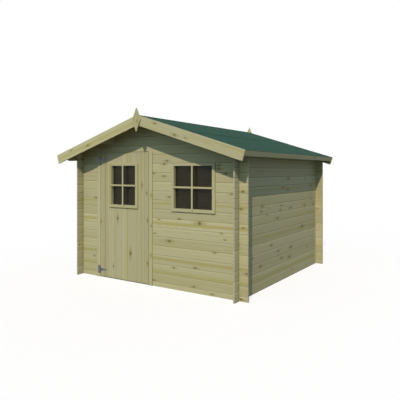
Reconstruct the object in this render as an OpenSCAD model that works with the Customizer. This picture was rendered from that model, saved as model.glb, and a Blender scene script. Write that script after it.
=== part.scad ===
// Log-built garden shed with a felted ridge roof, one boarded door and one fixed window.
// The wall logs interlock: each is notched top and bottom where it crosses the next wall,
// and the front and rear walls start with a half log, so the courses step past each other.
// Millimetres. The origin is on the ground in the middle of the whole outline, front to -Y.

/* [Walls] */
// Width over the outer faces of the side walls
wall_w = 2560; // [2300:10:3200]
// Depth over the outer faces of the front and rear walls
wall_d = 2560; // [1800:10:3600]
// Thickness of a log
log_t = 19; // [16:1:34]
// Height that one log adds to a wall
log_h = 116; // [110:1:128]
// Number of logs in a side wall
side_logs = 15; // [14:1:18]
// Length of the log ends that stand out past each corner
corner_reach = 110; // [60:5:160]
// Chamfer along the edges of a log
log_chamfer = 2.5; // [1:0.5:4]
// Width of the tongue on top of a log
tongue_w = 6; // [4:0.5:8]
// Height of the tongue on top of a log
tongue_h = 7; // [4:0.5:10]

/* [Roof] */
// Slope of the roof in degrees
roof_pitch = 17.5; // [12:0.5:26]
// Overhang of the eaves past the side walls
eave_reach = 220; // [140:5:300]
// Overhang from the front wall to the face of the front bargeboards
front_reach = 280; // [180:5:400]
// Overhang from the rear wall to the face of the rear bargeboards
rear_reach = 156; // [140:2:300]
// Thickness of the roof boards
deck_t = 16; // [12:1:22]
// Thickness of the roofing felt
felt_t = 3; // [2:0.5:5]
// Overlap of the upper strip of felt on the lower one
felt_lap = 80; // [50:5:120]
// Width of a bargeboard
bargeboard_w = 123; // [95:1:145]
// Thickness of a bargeboard
bargeboard_t = 18; // [14:1:24]
// Width of a fascia board below the felt
fascia_w = 62; // [45:1:90]
// Thickness of a fascia board
fascia_t = 16; // [12:1:22]
// Distance that the boards across the ends of an eave reach below its fascia
eave_end_drop = 19; // [5:1:40]
// Width of a purlin
purlin_w = 40; // [30:1:60]
// Height of a purlin at its middle
purlin_h = 102; // [70:2:120]
// Distance of the side purlins from the ridge
purlin_x = 648; // [500:2:800]
// Height of a finial
finial_h = 301; // [200:1:360]
// Width of a finial
finial_w = 132; // [80:1:180]
// Thickness of a finial
finial_t = 18; // [14:1:24]

/* [Door] */
// Centre of the doorway, from the middle of the front wall
door_x = -476; // [-520:2:-450]
// Width of the door leaf
leaf_w = 860; // [800:2:880]
// Thickness of the door boards
leaf_t = 19; // [16:1:28]
// Distance of the top of the leaf below the top of the side walls
leaf_drop = 23; // [20:1:60]
// Distance of the bottom of the leaf above the ground
leaf_lift = 15; // [12:1:40]
// Gap round the door leaf
door_gap = 6; // [5:0.5:10]
// Width of the outer face of a door post
jamb_face = 60; // [45:1:80]
// Distance that the door posts stand proud of the logs
jamb_proud = 12; // [8:1:20]
// Thickness of a door post across the end of the logs
jamb_web = 20; // [14:1:28]
// Thickness of the inner lip of a door post
jamb_lip = 12; // [8:1:20]
// Reach of the door stop into the doorway
stop_reach = 15; // [8:1:20]
// Thickness of the head piece over the door
head_t = 17; // [14:1:30]
// Thickness of the sill under the door
sill_t = 9; // [5:1:20]
// Height of a ledge across the back of the door
ledge_h = 95; // [70:5:120]
// Thickness of the ledges and the brace
ledge_t = 19; // [15:1:28]
// Distance of the ledges from the sides of the leaf
ledge_inset = 45; // [30:5:80]
// Distance of the bottom ledge from the bottom of the leaf
ledge_lift = 150; // [120:5:220]
// Width of the brace
brace_w = 90; // [60:5:120]

/* [Windows] */
// Centre of the fixed window, from the middle of the front wall
window_x = 646; // [600:2:680]
// Width over the frame of the fixed window
window_w = 636; // [520:2:680]
// Height over the frame of either window
window_h = 596; // [500:2:600]
// Number of logs from the sill of the window opening to the top of the side walls
window_logs = 7; // [6:1:8]
// Width over the frame of the door window
door_window_w = 508; // [420:2:560]
// Distance of the door window from the middle of the door, away from the hinges
door_window_shift = 7; // [0:1:20]
// Height of the door window above the level of the fixed one
door_window_lift = 8; // [0:1:20]
// Width of the upright pieces of a window frame
stile_w = 40; // [34:1:60]
// Height of the top piece of a window frame
top_rail_h = 34; // [32:1:60]
// Height of the bottom piece of a window frame
bottom_rail_h = 38; // [32:1:70]
// Distance that a window frame stands proud of the wall or the door
frame_proud = 18; // [10:1:30]
// Width of the frame that covers the edge of the opening
frame_cover = 16; // [10:1:20]
// Thickness of a pane
glass_t = 4; // [3:0.5:6]
// Distance of a pane behind the inner face of the wall or the door
glass_set = 5; // [2:0.5:12]
// Depth of the groove that holds the edge of a pane
glass_rebate = 8; // [5:0.5:10]
// Thickness of the inner trim over a pane
trim_t = 12; // [8:1:20]

/* [Hinges] */
// Height of a hinge plate on the door post
plate_h = 107; // [90:1:130]
// Width of a hinge plate on the door post
plate_w = 38; // [28:1:44]
// Thickness of the hinge steel
hinge_t = 2.5; // [2:0.25:4]
// Diameter of a hinge knuckle
knuckle_d = 10; // [9:0.5:14]
// Diameter of a hinge pin
pin_d = 5; // [4:0.25:6]
// Length of a hinge strap from the pin to its tip
strap_reach = 124; // [80:2:300]
// Height of a hinge strap at the pin
strap_root_h = 48; // [36:1:60]
// Height of a hinge strap at its tip
strap_tip_h = 12; // [8:1:20]
// Distance of the middle of a hinge from the end of the leaf
hinge_inset = 90; // [70:2:200]

/* [Hidden] */
$fn = 48;

// Clearances: between stacked logs, in the notches and tongues, and between seated pieces
joint_gap = 0.3;
notch_gap = 0.4;
seat_gap = 0.3;
// Radial clearance of a hinge pin, and end clearance of its knuckles
pin_gap = 0.05;
knuckle_gap = 0.5;
// Distance from a knuckle to the edge of the hinge plate
knuckle_clear = 2;
// Length by which a cutting shape runs past what it cuts
overrun = 5;
// A gable log lower than this share of a log is left out, and the one under it reaches the ridge
least_log_share = 0.2;
// Place of the felt's lap on the slope, and its height and ramp as shares of the felt
felt_lap_share = 0.5;
lap_step_share = 0.8;
lap_ramp_share = 0.25;
// Height of the top ledge as a share of the space between the door window and the stop over it
top_ledge_share = 0.6;
// Distance of the ledge under the door window from its frame
ledge_clear = 18;

wood = "#b9b287";
fresh_wood = "#c4bd92";
felt_green = "#3e5d52";
steel_grey = "#7d8793";
pane = "#3c3d36";

// Places of the walls
half_w = wall_w / 2;
front_y = -wall_d / 2 + (front_reach - rear_reach) / 2;
rear_y = front_y + wall_d;
wall_top = side_logs * log_h;
log_reach = half_w + corner_reach;
half_log = log_h / 2;

// Corner notches: a quarter of the log above and below leaves a core of half its height
slot_w = log_t + 2 * notch_gap;
core_lift = log_h / 4 + notch_gap / 2;
core_h = half_log - notch_gap;

// Roof: height of the underside over the walls, the depth of the boards below the face of the felt,
// and the top of the felt at the ridge
rise = tan(roof_pitch);
function underside(x) = wall_top + (half_w - abs(x)) * rise;
function seat(x) = underside(x) - seat_gap;
deck_top = felt_t + seat_gap;
apex_z = underside(0) + (deck_top + deck_t) / cos(roof_pitch);
slope_l = (half_w + eave_reach) / cos(roof_pitch);
roof_front = front_y - front_reach + bargeboard_t;
roof_rear = rear_y + rear_reach - bargeboard_t;
roof_d = roof_rear - roof_front;
bargeboard_drop = bargeboard_w / cos(roof_pitch);
finial_z = apex_z - bargeboard_drop / 2;

// A point of the right slope: s down the slope from the ridge, n in from the surface of the felt
function slope_pt(s, n) = [
    s * cos(roof_pitch) - n * sin(roof_pitch),
    apex_z - s * sin(roof_pitch) - n * cos(roof_pitch)
];
// The same depth below the felt, plumb under the ridge
function ridge_pt(n) = slope_pt(n * rise + seat_gap / cos(roof_pitch), n);

// Courses of the front and rear walls: course 0 is the half log on the ground
function course_z(k) = k == 0 ? 0 : half_log + (k - 1) * log_h;
courses = ceil((underside(0) - half_log) / log_h - least_log_share);
gable_course = side_logs;

// Doorway
leaf_top = wall_top - leaf_drop;
leaf_h = leaf_top - leaf_lift;
doorway_w = leaf_w + 2 * door_gap;
doorway_top = leaf_top + door_gap;
leaf_y = front_y - jamb_proud;
leaf_back_y = leaf_y + leaf_t;
post_back_y = front_y + log_t + jamb_lip;
stop_y = leaf_back_y + door_gap;
header_top = doorway_top + head_t;
header_course = floor((header_top - half_log) / log_h) + 1;
log_end_left = door_x - doorway_w / 2 - jamb_web;
log_end_right = door_x + doorway_w / 2 + jamb_web;

// Windows: the wall opening stands on a log joint
window_z = half_log + (side_logs - window_logs) * log_h - frame_cover;
door_window_z = window_z + door_window_lift;
door_window_x = door_x + door_window_shift;

// Ledges of the door: bottom, under the window, and over it but clear of the stop on the door head
ledge_w = leaf_w - 2 * ledge_inset;
mid_ledge_z = door_window_z - ledge_clear - ledge_h;
low_ledge_z = leaf_lift + ledge_lift;
top_ledge_limit = leaf_top - stop_reach;
top_space = top_ledge_limit - door_window_z - window_h;
top_ledge_h = top_space * top_ledge_share;
top_ledge_z = top_ledge_limit - (top_space + top_ledge_h) / 2;

// Hinge pins, in front of the gap between the left door post and the leaf
pin_x = door_x - (leaf_w + door_gap) / 2;
pin_y = leaf_y - knuckle_d / 2;
upper_hinge_z = leaf_top - hinge_inset;
lower_hinge_z = leaf_lift + hinge_inset;

// Section of a log: v-edges, a tongue on top and a groove below; a ground log is flat below
module log_section(h, grooved, tongued) {
    body = h - joint_gap;
    mid = log_t / 2;
    tongue = tongue_w / 2;
    groove = tongue + notch_gap;
    groove_h = tongue_h + notch_gap;
    bottom = grooved
        ? [[0, log_chamfer], [log_chamfer, 0], [mid - groove, 0], [mid - groove, groove_h],
           [mid + groove, groove_h], [mid + groove, 0], [log_t - log_chamfer, 0], [log_t, log_chamfer]]
        : [[0, 0], [log_t, 0]];
    tongue_pts = tongued
        ? [[mid + tongue, body], [mid + tongue, body + tongue_h],
           [mid - tongue, body + tongue_h], [mid - tongue, body]]
        : [];
    polygon(concat(
        bottom,
        [[log_t, body - log_chamfer], [log_t - log_chamfer, body]],
        tongue_pts,
        [[log_chamfer, body], [0, body - log_chamfer]]
    ));
}

// A prism along the roof, from the inner face of one pair of bargeboards to the other
module along_roof(points) {
    translate([0, roof_rear, 0])
        rotate([90, 0, 0])
            linear_extrude(roof_d)
                polygon(points);
}

// The space under the roof boards
module under_roof() {
    reach = log_reach + overrun;
    along_roof([[-reach, 0], [reach, 0], [reach, seat(reach)], [0, seat(0)], [-reach, seat(reach)]]);
}

// A purlin whose top is planed to the slope, or to both slopes at the ridge
module purlin(x, grow) {
    left = x - purlin_w / 2 - grow;
    right = x + purlin_w / 2 + grow;
    foot = underside(x) - purlin_h - grow;
    ridge = left < 0 && right > 0 ? [[0, seat(0) + grow]] : [];
    along_roof(concat(
        [[left, foot], [right, foot], [right, seat(right) + grow]],
        ridge,
        [[left, seat(left) + grow]]
    ));
}

// The slots of one crossing, over the core that is left of the log and under it
module crossing_slots(size_x, size_y, z, core_z, core_h) {
    translate([0, 0, core_z + core_h])
        cube([size_x, size_y, log_h]);
    if (core_z > z)
        translate([0, 0, z - overrun])
            cube([size_x, size_y, core_z - z + overrun]);
}

// Log i of a side wall, counted from the ground, with its lower faces at X = 0
module side_log(i) {
    z = i * log_h;
    top = i == side_logs - 1;
    difference() {
        translate([0, rear_y + corner_reach, z])
            rotate([90, 0, 0])
                linear_extrude(wall_d + 2 * corner_reach)
                    log_section(top ? log_h + log_t : log_h, i > 0, !top);
        for (y = [front_y, rear_y - log_t])
            translate([-overrun, y - notch_gap, 0])
                crossing_slots(log_t + 2 * overrun, slot_w, z, z + core_lift, core_h);
    }
}

// A side wall with its outer or inner faces at x, its top log planed to the slope of the roof
module side_wall(x) {
    color(wood) {
        for (i = [0 : side_logs - 2])
            translate([x, 0, 0]) side_log(i);
        intersection() {
            translate([x, 0, 0]) side_log(side_logs - 1);
            under_roof();
        }
    }
}

// Course k of a front or rear wall from x0 to x1, with its front face at Y = 0
module cross_log(k, x0, x1) {
    z = course_z(k);
    h = k == 0 ? half_log : k == courses ? log_h * (1 + least_log_share) : log_h;
    core_z = k == 0 ? 0 : z + core_lift;
    core = k == 0 ? core_lift - notch_gap : core_h;
    difference() {
        translate([x0, 0, z])
            rotate([90, 0, 90])
                linear_extrude(x1 - x0)
                    log_section(h, k > 0, k < courses);
        for (x = [-half_w, half_w - log_t])
            if (x > x0 && x < x1)
                translate([x - notch_gap, -overrun, 0])
                    crossing_slots(slot_w, log_t + 2 * overrun, z, core_z, core);
    }
}

// A course set in its wall at y, cut to the roof and round the purlins where it reaches them
module wall_course(k, y, x0 = -log_reach, x1 = log_reach) {
    if (course_z(k) + log_h + tongue_h < seat(log_reach))
        translate([0, y, 0]) cross_log(k, x0, x1);
    else
        difference() {
            intersection() {
                translate([0, y, 0]) cross_log(k, x0, x1);
                under_roof();
            }
            for (x = [-purlin_x, 0, purlin_x])
                purlin(x, notch_gap);
        }
}

// A block in the front, from x, z to the size w, h, between two depths
module block(x, z, w, h, y0, y1) {
    translate([x, y0, z]) cube([w, y1 - y0, h]);
}

// The opening that a window of width w needs, in a wall or door that faces y
module window_hole(x, z, w, y0, y1) {
    block(x - w / 2 + frame_cover, z + frame_cover - joint_gap,
          w - 2 * frame_cover, window_h - 2 * frame_cover + joint_gap, y0 - overrun, y1 + overrun);
}

// The clear sight through a window frame, widened by grow on every side
module window_sight(x, z, w, grow, y0, y1) {
    block(x - w / 2 + stile_w - grow, z + bottom_rail_h - grow, w - 2 * (stile_w - grow),
          window_h - bottom_rail_h - top_rail_h + 2 * grow, y0, y1);
}

// Frame of a window: a face that covers the edge of the opening, and a lining that holds the pane
module frame(x, z, w, y, panel_t) {
    pane_y = y + panel_t + glass_set;
    lining_in = frame_cover + seat_gap;
    color(fresh_wood)
        difference() {
            union() {
                block(x - w / 2, z, w, window_h, y - frame_proud, y);
                block(x - w / 2 + lining_in, z + lining_in, w - 2 * lining_in, window_h - 2 * lining_in,
                      y - seat_gap, pane_y + glass_t);
            }
            window_sight(x, z, w, 0, y - frame_proud - overrun, pane_y + overrun);
            window_sight(x, z, w, glass_rebate, pane_y, pane_y + glass_t + overrun);
        }
}

// The pane of a window, in the groove of its frame
module pane_of(x, z, w, y, panel_t) {
    pane_y = y + panel_t + glass_set;
    color(pane, 0.6)
        window_sight(x, z, w, glass_rebate - seat_gap, pane_y, pane_y + glass_t);
}

// The trim inside a window, which covers the lining and keeps the pane in
module trim(x, z, w, y, panel_t) {
    pane_back = y + panel_t + glass_set + glass_t;
    color(wood)
        difference() {
            block(x - w / 2, z, w, window_h, y + panel_t, pane_back + trim_t);
            window_hole(x, z, w, y + panel_t, pane_back - overrun);
            window_sight(x, z, w, 0, y, pane_back + trim_t + overrun);
        }
}

// The section of a door post: a channel round the log ends, with a stop behind the leaf
module post_section() {
    face = -jamb_proud;
    back = log_t + jamb_lip;
    stop = stop_y - front_y;
    polygon([
        [-jamb_face, face], [0, face], [0, stop], [stop_reach, stop], [stop_reach, back],
        [-jamb_face, back], [-jamb_face, log_t + seat_gap], [-jamb_web, log_t + seat_gap],
        [-jamb_web, -seat_gap], [-jamb_face, -seat_gap]
    ]);
}

module door_post(side) {
    color(fresh_wood)
        translate([door_x + side * doorway_w / 2, front_y, 0])
            mirror([side > 0 ? 1 : 0, 0, 0])
                linear_extrude(doorway_top - seat_gap)
                    post_section();
}

// A board of the right slope, mirrored for the left one
module slope_board(side, points) {
    mirror([side < 0 ? 1 : 0, 0, 0])
        along_roof(points);
}

module roof_deck(side) {
    under = deck_top + deck_t;
    low = slope_l - fascia_t - seat_gap;
    color(wood)
        slope_board(side, [ridge_pt(deck_top), slope_pt(low, deck_top), slope_pt(low, under), ridge_pt(under)]);
}

// Felt in two strips: the upper one laps over the lower one, which makes a low step
module roof_felt(side) {
    lap_edge = slope_l * felt_lap_share;
    lap_head = lap_edge - felt_lap;
    step = felt_t * lap_step_share;
    color(felt_green)
        slope_board(side, [
            ridge_pt(0), slope_pt(lap_head - felt_lap * lap_ramp_share, 0), slope_pt(lap_head, -step),
            slope_pt(lap_edge, -step), slope_pt(lap_edge, 0), slope_pt(slope_l, 0),
            slope_pt(slope_l, felt_t), ridge_pt(felt_t)
        ]);
}

module fascia(side) {
    foot = deck_top + fascia_w;
    color(fresh_wood)
        slope_board(side, [
            slope_pt(slope_l - fascia_t, deck_top), slope_pt(slope_l, deck_top),
            slope_pt(slope_l, foot), slope_pt(slope_l - fascia_t, foot)
        ]);
}

// The boards that close an eave between the wall, the roof boards and the fascia, flush with the log ends
module eave_ends(side) {
    inner_x = half_w + seat_gap;
    outer_s = slope_l - fascia_t - seat_gap;
    head = slope_pt(outer_s, deck_top + deck_t + seat_gap);
    foot = slope_pt(outer_s, deck_top + fascia_w + eave_end_drop);
    color(fresh_wood)
        mirror([side < 0 ? 1 : 0, 0, 0])
            for (y = [front_y - corner_reach + log_t, rear_y + corner_reach])
                translate([0, y, 0])
                    rotate([90, 0, 0])
                        linear_extrude(log_t)
                            polygon([[inner_x, foot[1]], foot, head, [inner_x, seat(inner_x)]]);
}

// A bargeboard with its rear face at y, plumb at the ridge and square at the eave
module bargeboard(side, y) {
    color(fresh_wood)
        translate([0, y, 0])
            mirror([side < 0 ? 1 : 0, 0, 0])
                rotate([90, 0, 0])
                    linear_extrude(bargeboard_t)
                        polygon([ridge_pt(0), slope_pt(slope_l, 0), slope_pt(slope_l, bargeboard_w),
                                 ridge_pt(bargeboard_w)]);
}

// A pointed finial over the joint of two bargeboards, with its rear face at y
module finial(y) {
    color(fresh_wood)
        translate([0, y, finial_z])
            rotate([90, 0, 0])
                linear_extrude(finial_t)
                    polygon([[0, -finial_h / 2], [finial_w / 2, 0], [0, finial_h / 2], [-finial_w / 2, 0]]);
}

// The part of a hinge on the door post: a plate, two knuckles and the pin through all three
module hinge_plate(z) {
    edge = knuckle_d / 2 + knuckle_clear;
    knuckle_h = (plate_h - strap_root_h) / 2 - knuckle_gap;
    color(steel_grey)
        translate([pin_x, pin_y, z]) {
            translate([-edge - plate_w, knuckle_d / 2 - hinge_t, -plate_h / 2])
                cube([plate_w, hinge_t, plate_h]);
            for (foot = [-plate_h / 2, plate_h / 2 - knuckle_h])
                translate([0, 0, foot]) {
                    cylinder(h = knuckle_h, d = knuckle_d);
                    translate([-edge - overrun, knuckle_d / 2 - hinge_t, 0])
                        cube([edge + overrun, hinge_t, knuckle_h]);
                }
            translate([0, 0, -plate_h / 2])
                cylinder(h = plate_h, d = pin_d);
        }
}

// The part of a hinge on the door: the middle knuckle and a strap that tapers to its tip
module hinge_strap(z) {
    root = strap_root_h / 2;
    tip = strap_tip_h / 2;
    color(steel_grey)
        translate([pin_x, pin_y, z])
            difference() {
                union() {
                    translate([0, 0, -root])
                        cylinder(h = strap_root_h, d = knuckle_d);
                    translate([0, knuckle_d / 2, 0])
                        rotate([90, 0, 0])
                            linear_extrude(hinge_t)
                                polygon([[0, -root], [strap_reach, -tip], [strap_reach, tip], [0, root]]);
                }
                translate([0, 0, -root - overrun])
                    cylinder(h = strap_root_h + 2 * overrun, d = pin_d + 2 * pin_gap);
            }
}

module left_wall() side_wall(-half_w);
module right_wall() side_wall(half_w - log_t);

module rear_wall() {
    color(wood)
        for (k = [0 : gable_course - 1])
            wall_course(k, rear_y - log_t);
}

module rear_gable() {
    color(wood)
        for (k = [gable_course : courses])
            wall_course(k, rear_y - log_t);
}

module front_wall_left() {
    color(wood)
        for (k = [0 : header_course - 1])
            wall_course(k, front_y, x1 = log_end_left - seat_gap);
}

// The logs right of the doorway, parted by the window opening
module front_wall_right() {
    color(wood)
        for (k = [0 : header_course - 1])
            difference() {
                wall_course(k, front_y, x0 = log_end_right + seat_gap);
                window_hole(window_x, window_z, window_w, front_y, front_y + log_t);
            }
}

// The log over the doorway, cut out for the head of the door
module door_header_log() {
    color(wood)
        difference() {
            wall_course(header_course, front_y);
            block(log_end_left - seat_gap, 0, log_end_right - log_end_left + 2 * seat_gap,
                  header_top + seat_gap, front_y - overrun, front_y + log_t + overrun);
        }
}

module front_gable() {
    color(wood)
        for (k = [header_course + 1 : courses])
            wall_course(k, front_y);
}

module ridge_purlin() color(wood) purlin(0, 0);
module left_purlin() color(wood) purlin(-purlin_x, 0);
module right_purlin() color(wood) purlin(purlin_x, 0);

module left_roof_deck() roof_deck(-1);
module right_roof_deck() roof_deck(1);
module left_roof_felt() roof_felt(-1);
module right_roof_felt() roof_felt(1);

module front_left_bargeboard() bargeboard(-1, roof_front);
module front_right_bargeboard() bargeboard(1, roof_front);
module rear_left_bargeboard() bargeboard(-1, roof_rear + bargeboard_t);
module rear_right_bargeboard() bargeboard(1, roof_rear + bargeboard_t);
module left_fascia() fascia(-1);
module right_fascia() fascia(1);
module left_eave_ends() eave_ends(-1);
module right_eave_ends() eave_ends(1);
module front_finial() finial(roof_front - bargeboard_t);
module rear_finial() finial(roof_rear + bargeboard_t + finial_t);

module left_door_post() door_post(-1);
module right_door_post() door_post(1);

// The head of the doorway, with a stop behind the top of the leaf
module door_head() {
    lip_w = doorway_w - 2 * (stop_reach + seat_gap);
    color(fresh_wood) {
        block(log_end_left, doorway_top, log_end_right - log_end_left, head_t, front_y, post_back_y);
        block(door_x - lip_w / 2, doorway_top - stop_reach, lip_w, stop_reach + head_t, stop_y, post_back_y);
    }
}

module door_sill() {
    w = doorway_w - 2 * seat_gap;
    color(wood)
        block(door_x - w / 2, 0, w, sill_t, front_y, stop_y - seat_gap);
}

module window_frame() frame(window_x, window_z, window_w, front_y, log_t);
module window_glass() pane_of(window_x, window_z, window_w, front_y, log_t);
module window_trim() trim(window_x, window_z, window_w, front_y, log_t);

module upper_hinge_plate() hinge_plate(upper_hinge_z);
module lower_hinge_plate() hinge_plate(lower_hinge_z);

module door_leaf() {
    color(fresh_wood)
        difference() {
            block(door_x - leaf_w / 2, leaf_lift, leaf_w, leaf_h, leaf_y, leaf_back_y);
            window_hole(door_window_x, door_window_z, door_window_w, leaf_y, leaf_back_y);
        }
}

// The ledges across the back of the door boards
module door_ledges() {
    color(wood)
        for (ledge = [[low_ledge_z, ledge_h], [mid_ledge_z, ledge_h], [top_ledge_z, top_ledge_h]])
            block(door_x - ledge_w / 2, ledge[0], ledge_w, ledge[1], leaf_back_y, leaf_back_y + ledge_t);
}

// The brace, from the lower hinge up to the free side of the middle ledge
module door_brace() {
    foot = low_ledge_z + ledge_h + seat_gap;
    head = mid_ledge_z - seat_gap;
    cut_w = brace_w / sin(atan2(head - foot, ledge_w - brace_w));
    left = door_x - ledge_w / 2;
    right = door_x + ledge_w / 2;
    color(wood)
        translate([0, leaf_back_y + ledge_t, 0])
            rotate([90, 0, 0])
                linear_extrude(ledge_t)
                    polygon([[left, foot], [left + cut_w, foot], [right, head], [right - cut_w, head]]);
}

module door_window_frame() frame(door_window_x, door_window_z, door_window_w, leaf_y, leaf_t);
module door_window_glass() pane_of(door_window_x, door_window_z, door_window_w, leaf_y, leaf_t);
module door_window_trim() trim(door_window_x, door_window_z, door_window_w, leaf_y, leaf_t);

module upper_hinge_strap() hinge_strap(upper_hinge_z);
module lower_hinge_strap() hinge_strap(lower_hinge_z);

left_wall();
right_wall();
rear_wall();
rear_gable();
front_wall_left();
front_wall_right();
door_header_log();
front_gable();
ridge_purlin();
left_purlin();
right_purlin();
left_roof_deck();
right_roof_deck();
left_roof_felt();
right_roof_felt();
front_left_bargeboard();
front_right_bargeboard();
rear_left_bargeboard();
rear_right_bargeboard();
left_fascia();
right_fascia();
left_eave_ends();
right_eave_ends();
front_finial();
rear_finial();
left_door_post();
right_door_post();
door_head();
door_sill();
window_frame();
window_glass();
window_trim();
upper_hinge_plate();
lower_hinge_plate();
door_leaf();
door_ledges();
door_brace();
door_window_frame();
door_window_glass();
door_window_trim();
upper_hinge_strap();
lower_hinge_strap();
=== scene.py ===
"""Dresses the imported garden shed: treated pine logs and boards, green felt, dark panes, zinc hinges.

Metres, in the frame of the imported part: the front faces -Y, +Z is up, and the ground is at Z = 0.
"""

import math
from dataclasses import dataclass

import bmesh
import bpy
from mathutils import Matrix, Vector


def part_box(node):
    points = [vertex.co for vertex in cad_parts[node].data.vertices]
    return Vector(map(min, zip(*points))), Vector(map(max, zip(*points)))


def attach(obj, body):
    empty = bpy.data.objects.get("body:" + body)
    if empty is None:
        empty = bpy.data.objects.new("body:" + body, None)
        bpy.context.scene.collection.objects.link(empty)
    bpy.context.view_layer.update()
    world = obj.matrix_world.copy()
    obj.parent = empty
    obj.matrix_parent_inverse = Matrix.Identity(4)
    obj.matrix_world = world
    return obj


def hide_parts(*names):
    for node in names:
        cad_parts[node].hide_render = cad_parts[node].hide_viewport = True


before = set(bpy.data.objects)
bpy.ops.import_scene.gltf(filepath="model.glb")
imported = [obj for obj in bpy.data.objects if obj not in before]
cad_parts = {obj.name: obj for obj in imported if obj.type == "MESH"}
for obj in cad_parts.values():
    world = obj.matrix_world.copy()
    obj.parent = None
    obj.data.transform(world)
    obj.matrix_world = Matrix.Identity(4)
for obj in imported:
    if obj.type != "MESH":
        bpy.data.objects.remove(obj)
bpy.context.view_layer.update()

# The photograph's camera: a square picture, a level view, and the horizon above the middle
PHOTO_PIXELS = 400
FOCAL_PIXELS = 449.5
HORIZON_PIXEL = 171.46
SENSOR = 36.0
EYE = (3.7095, -5.6859, 1.4643)
EYE_TURN = math.radians(33.548)

# Light: where the sunlight travels, its strength, and the sky that fills the shade, dimmest at the sides
SUN_TRAVEL = Vector((-0.27, 0.73, -0.63))
SUN_STRENGTH = 2.88
SUN_ANGLE = math.radians(0.6)
SUN_COLOUR = (1.0, 0.88, 0.79)
SKY_COLOUR = (0.55, 0.79, 1.0, 1.0)
SKY_STRENGTH = 0.12
FRONT_SKY_GAIN = 0.92
BACK_SKY_GAIN = 0.86
WHITE = (1.0, 1.0, 1.0, 1.0)

# The floor: its colour in the light that it throws back, and what the camera sees, white in the sun
FLOOR_COLOUR = (0.09, 0.09, 0.08, 1.0)
FLOOR_GLOW = 0.73
FLOOR_SHADOW_COLOUR = (0.314, 0.297, 0.282, 1.0)
FLOOR_RADIUS = 40.0
FLOOR_SEGMENTS = 64
FLOOR_DROP = 0.001

# The logs: the face of one, the painted shade and dirt at its lower edge, the painted highlight under its
# upper edge, and where its ends outside the walls begin to be painted paler, as painted light
LOG_COVER = 0.116
LOG_EDGE = 0.004
LOG_EDGE_HIGHLIGHT = 0.11
SIDE_LOG_EDGE = 0.0055
SIDE_LOG_EDGE_HIGHLIGHT = 0.15
SIDE_LOG_LIT_ENDS = (1.24, 1.28)

# The boards of the door and the roof, and the eased edges of all boards
DOOR_BOARD = 0.133
DOOR_BOARD_EDGE = 0.001
ROOF_BOARDS = 33
ROOF_BOARD_EDGE = 0.003
ROOF_PITCH = math.radians(17.5)
BOARD_EASE = 0.0016

# What counts as one point, as one flat face, as a sharp edge, and as a long edge of a roof board
MERGE = 1e-5
FLAT_ANGLE = math.radians(1)
SHARP_ANGLE = math.radians(20)
LONG_EDGE = 1.0

# The two sides of the shed, by their sign along X
LEFT, RIGHT = -1, 1
SIDES = {LEFT: "left", RIGHT: "right"}

# The windows: the edge that a pane hides in its frame, the frame's lap over the wall, and the bars
PANE_LAP = 0.0077
FRAME_COVER = 0.0163
BAR_W = 0.022
BAR_T = 0.010
BAR_LAP = 0.016
BAR_EASE = 0.002

# Nail heads
NAIL_STEP = 0.10
CLOUT_R = 0.0045
NAIL_R = 0.0030
HEAD_H = 0.0012
HEAD_SIDES = 10
HEAD_TAPER_SHARE = 0.72

# The felt's nails: how far in from its edges, from the lap between its strips and from the ridge
FELT_NAIL_INSET = 0.03
FELT_LAP_SHARE = 0.5
LAP_NAIL_INSET = 0.025
LAP_NAIL_LIFT = 0.0024
LAP_CLEAR_INSET = 0.05
LAP_CLEAR = 0.08
RIDGE_NAIL_INSET = 0.08
EAVE_NAIL_INSET = 0.10

# The boards' nails: down the slope and under it on the bargeboards, then on the fascias
BARGE_NAILS = (0.10, 0.66, 0.70, 1.30, 1.34)
BARGE_END_INSET = 0.03
BARGE_NAIL_LIFTS = (-0.04, -0.085)
FASCIA_NAIL_INSET = 0.06
FASCIA_NAIL_STEP = 0.45
FASCIA_NAIL_LIFTS = (-0.012, -0.045)

# The hinges' screws, and where they sit on the plates and the straps
SCREW_R = 0.0042
SCREW_H = 0.0020
SCREW_SIDES = 12
SCREW_RIM_SHARE = 0.30
SCREW_RECESS_SHARE = 0.6
HINGE_T = 0.0025
PLATE_SCREWS_X = (0.010, 0.028)
PLATE_SCREWS_Z = (-0.040, 0.040)
STRAP_SCREWS_X = (0.030, 0.065, 0.100)


def linear(red, green, blue):
    """A display colour of 0 to 255 as the colour that a node takes."""
    def channel(level):
        level = level / 255
        return level / 12.92 if level <= 0.04045 else ((level + 0.055) / 1.055) ** 2.4
    return (channel(red), channel(green), channel(blue), 1.0)


# The finishes' colours
PINE_PALE = linear(182, 177, 139)
PINE_YELLOW = linear(160, 150, 82)
PINE_GREEN = linear(162, 162, 114)
PINE_LATE = linear(146, 134, 84)
# Painted light: the paler, bluer colour of the log ends that stand out of the walls
PINE_LIT_ENDS = linear(190, 187, 155)
PINE_END = linear(175, 168, 136)
KNOT_OLIVE = linear(120, 108, 44)
KNOT_CORE = linear(92, 68, 22)
# Painted shade, with some dirt, that darkens the joints
JOINT_SHADE_AND_DIRT = linear(80, 84, 66)
FELT_DARK = linear(22, 54, 42)
FELT_LIGHT = linear(40, 83, 67)
# The panes' dark colour is painted shade of the room behind them; the dust colour is paler
PANE_ROOM_SHADE = linear(45, 41, 25)
PANE_DUST = linear(57, 54, 35)
ZINC_LIGHT = linear(119, 122, 125)
ZINC_DARK = linear(89, 92, 96)


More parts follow.
